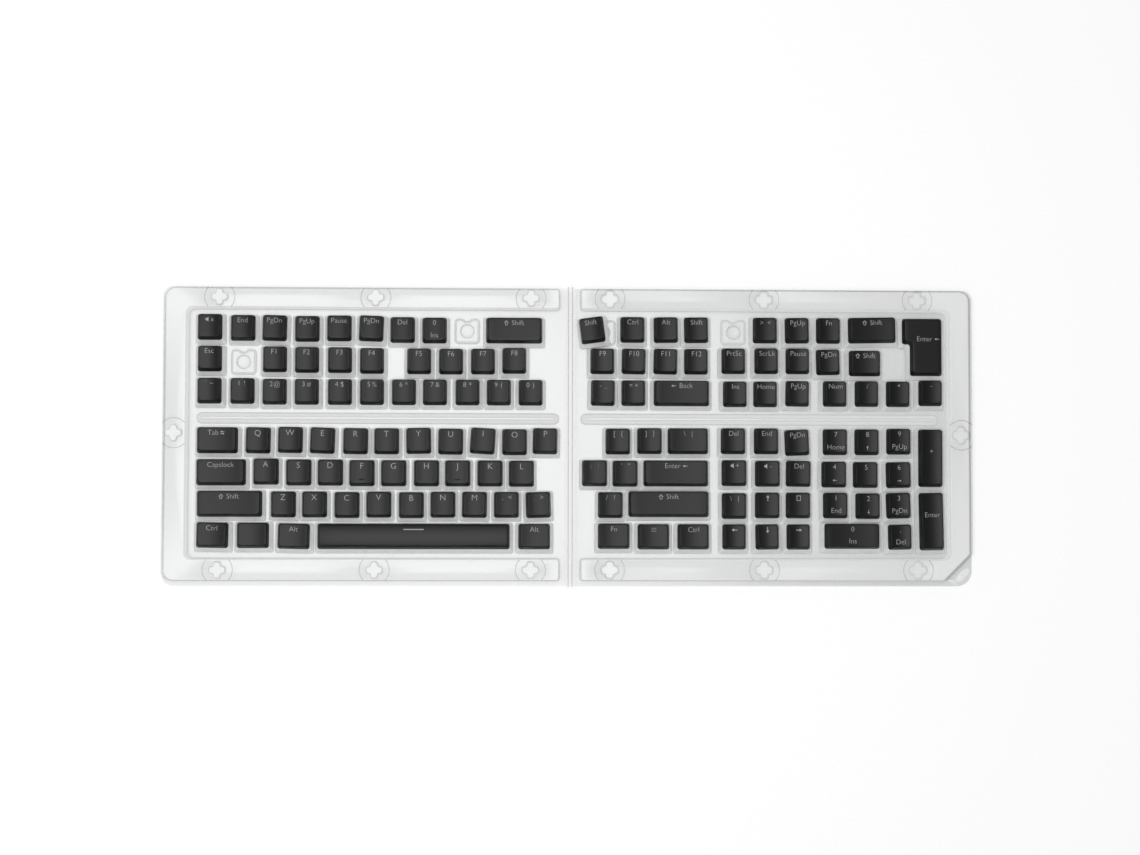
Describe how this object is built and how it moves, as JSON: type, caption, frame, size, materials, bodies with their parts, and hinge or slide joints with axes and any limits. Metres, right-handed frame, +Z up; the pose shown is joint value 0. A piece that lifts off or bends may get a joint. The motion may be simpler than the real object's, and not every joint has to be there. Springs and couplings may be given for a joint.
{
  "type": "key cap set in hinged tray",
  "caption": "Full set of double-shot key caps for a mechanical keyboard, seated on the posts of an open, clear, book-like blister tray with a living hinge and snap fasteners.",
  "frame": {"origin": "on the table under the middle of the open tray, on the hinge line", "axes": "+X to the right page, +Y to the back row of caps, +Z up"},
  "size_m": [0.486, 0.1788, 0.0125],
  "materials": {
    "clear_sheet": "clear glossy thermoformed PET",
    "cap_plastic": "fine-grained black shell over a milky translucent skirt"
  },
  "bodies": {
    "left_page": {"left_page": "clear_sheet", "living_hinge": "clear_sheet"},
    "right_page": {"right_page": "clear_sheet"},
    "cap_shift_2u": {"cap_shift_2u": "cap_plastic"},
    "cap_tab": {"cap_tab": "cap_plastic"},
    "cap_q": {"cap_q": "cap_plastic"},
    "cap_w": {"cap_w": "cap_plastic"},
    "cap_e": {"cap_e": "cap_plastic"},
    "cap_r": {"cap_r": "cap_plastic"},
    "cap_t": {"cap_t": "cap_plastic"},
    "cap_y": {"cap_y": "cap_plastic"},
    "cap_u": {"cap_u": "cap_plastic"},
    "cap_i": {"cap_i": "cap_plastic"},
    "cap_o": {"cap_o": "cap_plastic"},
    "cap_p": {"cap_p": "cap_plastic"},
    "cap_caps_lock": {"cap_caps_lock": "cap_plastic"},
    "cap_a": {"cap_a": "cap_plastic"},
    "cap_s": {"cap_s": "cap_plastic"},
    "cap_d": {"cap_d": "cap_plastic"},
    "cap_f": {"cap_f": "cap_plastic"},
    "cap_g": {"cap_g": "cap_plastic"},
    "cap_h": {"cap_h": "cap_plastic"},
    "cap_j": {"cap_j": "cap_plastic"},
    "cap_k": {"cap_k": "cap_plastic"},
    "cap_l": {"cap_l": "cap_plastic"},
    "cap_shift_left": {"cap_shift_left": "cap_plastic"},
    "cap_z": {"cap_z": "cap_plastic"},
    "cap_x": {"cap_x": "cap_plastic"},
    "cap_c": {"cap_c": "cap_plastic"},
    "cap_v": {"cap_v": "cap_plastic"},
    "cap_b": {"cap_b": "cap_plastic"},
    "cap_n": {"cap_n": "cap_plastic"},
    "cap_m": {"cap_m": "cap_plastic"},
    "cap_control_left": {"cap_control_left": "cap_plastic"},
    "cap_system": {"cap_system": "cap_plastic"},
    "cap_alt_left": {"cap_alt_left": "cap_plastic"},
    "cap_space": {"cap_space": "cap_plastic"},
    "cap_alt_right": {"cap_alt_right": "cap_plastic"},
    "cap_shift_loose": {"cap_shift_loose": "cap_plastic"},
    "cap_backspace": {"cap_backspace": "cap_plastic"},
    "cap_backslash": {"cap_backslash": "cap_plastic"},
    "cap_enter": {"cap_enter": "cap_plastic"},
    "cap_shift_right": {"cap_shift_right": "cap_plastic"},
    "cap_function": {"cap_function": "cap_plastic"},
    "cap_menu": {"cap_menu": "cap_plastic"},
    "cap_control_right": {"cap_control_right": "cap_plastic"},
    "cap_shift_1_75u": {"cap_shift_1_75u": "cap_plastic"},
    "cap_enter_iso": {"cap_enter_iso": "cap_plastic"},
    "cap_shift_1_25u": {"cap_shift_1_25u": "cap_plastic"},
    "cap_pad_plus": {"cap_pad_plus": "cap_plastic"},
    "cap_pad_enter": {"cap_pad_enter": "cap_plastic"},
    "cap_pad_0": {"cap_pad_0": "cap_plastic"}
  },
  "joints": [
    {"name": "fold", "type": "hinge", "parent": "left_page", "child": "right_page", "pos_m": [0, 0, 0.01065], "axis": [0, 1, 0], "range_deg": [-180, 0]},
    {"name": "lift_shift_2u", "type": "slide", "parent": "left_page", "child": "cap_shift_2u", "axis": [0, 0, 1], "range_m": [0, 0.012]},
    {"name": "lift_tab", "type": "slide", "parent": "left_page", "child": "cap_tab", "axis": [0, 0, 1], "range_m": [0, 0.012]},
    {"name": "lift_q", "type": "slide", "parent": "left_page", "child": "cap_q", "axis": [0, 0, 1], "range_m": [0, 0.012]},
    {"name": "lift_w", "type": "slide", "parent": "left_page", "child": "cap_w", "axis": [0, 0, 1], "range_m": [0, 0.012]},
    {"name": "lift_e", "type": "slide", "parent": "left_page", "child": "cap_e", "axis": [0, 0, 1], "range_m": [0, 0.012]},
    {"name": "lift_r", "type": "slide", "parent": "left_page", "child": "cap_r", "axis": [0, 0, 1], "range_m": [0, 0.012]},
    {"name": "lift_t", "type": "slide", "parent": "left_page", "child": "cap_t", "axis": [0, 0, 1], "range_m": [0, 0.012]},
    {"name": "lift_y", "type": "slide", "parent": "left_page", "child": "cap_y", "axis": [0, 0, 1], "range_m": [0, 0.012]},
    {"name": "lift_u", "type": "slide", "parent": "left_page", "child": "cap_u", "axis": [0, 0, 1], "range_m": [0, 0.012]},
    {"name": "lift_i", "type": "slide", "parent": "left_page", "child": "cap_i", "axis": [0, 0, 1], "range_m": [0, 0.012]},
    {"name": "lift_o", "type": "slide", "parent": "left_page", "child": "cap_o", "axis": [0, 0, 1], "range_m": [0, 0.012]},
    {"name": "lift_p", "type": "slide", "parent": "left_page", "child": "cap_p", "axis": [0, 0, 1], "range_m": [0, 0.012]},
    {"name": "lift_caps_lock", "type": "slide", "parent": "left_page", "child": "cap_caps_lock", "axis": [0, 0, 1], "range_m": [0, 0.012]},
    {"name": "lift_a", "type": "slide", "parent": "left_page", "child": "cap_a", "axis": [0, 0, 1], "range_m": [0, 0.012]},
    {"name": "lift_s", "type": "slide", "parent": "left_page", "child": "cap_s", "axis": [0, 0, 1], "range_m": [0, 0.012]},
    {"name": "lift_d", "type": "slide", "parent": "left_page", "child": "cap_d", "axis": [0, 0, 1], "range_m": [0, 0.012]},
    {"name": "lift_f", "type": "slide", "parent": "left_page", "child": "cap_f", "axis": [0, 0, 1], "range_m": [0, 0.012]},
    {"name": "lift_g", "type": "slide", "parent": "left_page", "child": "cap_g", "axis": [0, 0, 1], "range_m": [0, 0.012]},
    {"name": "lift_h", "type": "slide", "parent": "left_page", "child": "cap_h", "axis": [0, 0, 1], "range_m": [0, 0.012]},
    {"name": "lift_j", "type": "slide", "parent": "left_page", "child": "cap_j", "axis": [0, 0, 1], "range_m": [0, 0.012]},
    {"name": "lift_k", "type": "slide", "parent": "left_page", "child": "cap_k", "axis": [0, 0, 1], "range_m": [0, 0.012]},
    {"name": "lift_l", "type": "slide", "parent": "left_page", "child": "cap_l", "axis": [0, 0, 1], "range_m": [0, 0.012]},
    {"name": "lift_shift_left", "type": "slide", "parent": "left_page", "child": "cap_shift_left", "axis": [0, 0, 1], "range_m": [0, 0.012]},
    {"name": "lift_z", "type": "slide", "parent": "left_page", "child": "cap_z", "axis": [0, 0, 1], "range_m": [0, 0.012]},
    {"name": "lift_x", "type": "slide", "parent": "left_page", "child": "cap_x", "axis": [0, 0, 1], "range_m": [0, 0.012]},
    {"name": "lift_c", "type": "slide", "parent": "left_page", "child": "cap_c", "axis": [0, 0, 1], "range_m": [0, 0.012]},
    {"name": "lift_v", "type": "slide", "parent": "left_page", "child": "cap_v", "axis": [0, 0, 1], "range_m": [0, 0.012]},
    {"name": "lift_b", "type": "slide", "parent": "left_page", "child": "cap_b", "axis": [0, 0, 1], "range_m": [0, 0.012]},
    {"name": "lift_n", "type": "slide", "parent": "left_page", "child": "cap_n", "axis": [0, 0, 1], "range_m": [0, 0.012]},
    {"name": "lift_m", "type": "slide", "parent": "left_page", "child": "cap_m", "axis": [0, 0, 1], "range_m": [0, 0.012]},
    {"name": "lift_control_left", "type": "slide", "parent": "left_page", "child": "cap_control_left", "axis": [0, 0, 1], "range_m": [0, 0.012]},
    {"name": "lift_system", "type": "slide", "parent": "left_page", "child": "cap_system", "axis": [0, 0, 1], "range_m": [0, 0.012]},
    {"name": "lift_alt_left", "type": "slide", "parent": "left_page", "child": "cap_alt_left", "axis": [0, 0, 1], "range_m": [0, 0.012]},
    {"name": "lift_space", "type": "slide", "parent": "left_page", "child": "cap_space", "axis": [0, 0, 1], "range_m": [0, 0.012]},
    {"name": "lift_alt_right", "type": "slide", "parent": "left_page", "child": "cap_alt_right", "axis": [0, 0, 1], "range_m": [0, 0.012]},
    {"name": "lift_shift_loose", "type": "slide", "parent": "right_page", "child": "cap_shift_loose", "axis": [0, 0, 1], "range_m": [0, 0.012]},
    {"name": "lift_backspace", "type": "slide", "parent": "right_page", "child": "cap_backspace", "axis": [0, 0, 1], "range_m": [0, 0.012]},
    {"name": "lift_backslash", "type": "slide", "parent": "right_page", "child": "cap_backslash", "axis": [0, 0, 1], "range_m": [0, 0.012]},
    {"name": "lift_enter", "type": "slide", "parent": "right_page", "child": "cap_enter", "axis": [0, 0, 1], "range_m": [0, 0.012]},
    {"name": "lift_shift_right", "type": "slide", "parent": "right_page", "child": "cap_shift_right", "axis": [0, 0, 1], "range_m": [0, 0.012]},
    {"name": "lift_function", "type": "slide", "parent": "right_page", "child": "cap_function", "axis": [0, 0, 1], "range_m": [0, 0.012]},
    {"name": "lift_menu", "type": "slide", "parent": "right_page", "child": "cap_menu", "axis": [0, 0, 1], "range_m": [0, 0.012]},
    {"name": "lift_control_right", "type": "slide", "parent": "right_page", "child": "cap_control_right", "axis": [0, 0, 1], "range_m": [0, 0.012]},
    {"name": "lift_shift_1_75u", "type": "slide", "parent": "right_page", "child": "cap_shift_1_75u", "axis": [0, 0, 1], "range_m": [0, 0.012]},
    {"name": "lift_enter_iso", "type": "slide", "parent": "right_page", "child": "cap_enter_iso", "axis": [0, 0, 1], "range_m": [0, 0.012]},
    {"name": "lift_shift_1_25u", "type": "slide", "parent": "right_page", "child": "cap_shift_1_25u", "axis": [0, 0, 1], "range_m": [0, 0.012]},
    {"name": "lift_pad_plus", "type": "slide", "parent": "right_page", "child": "cap_pad_plus", "axis": [0, 0, 1], "range_m": [0, 0.012]},
    {"name": "lift_pad_enter", "type": "slide", "parent": "right_page", "child": "cap_pad_enter", "axis": [0, 0, 1], "range_m": [0, 0.012]},
    {"name": "lift_pad_0", "type": "slide", "parent": "right_page", "child": "cap_pad_0", "axis": [0, 0, 1], "range_m": [0, 0.012]}
  ]
}
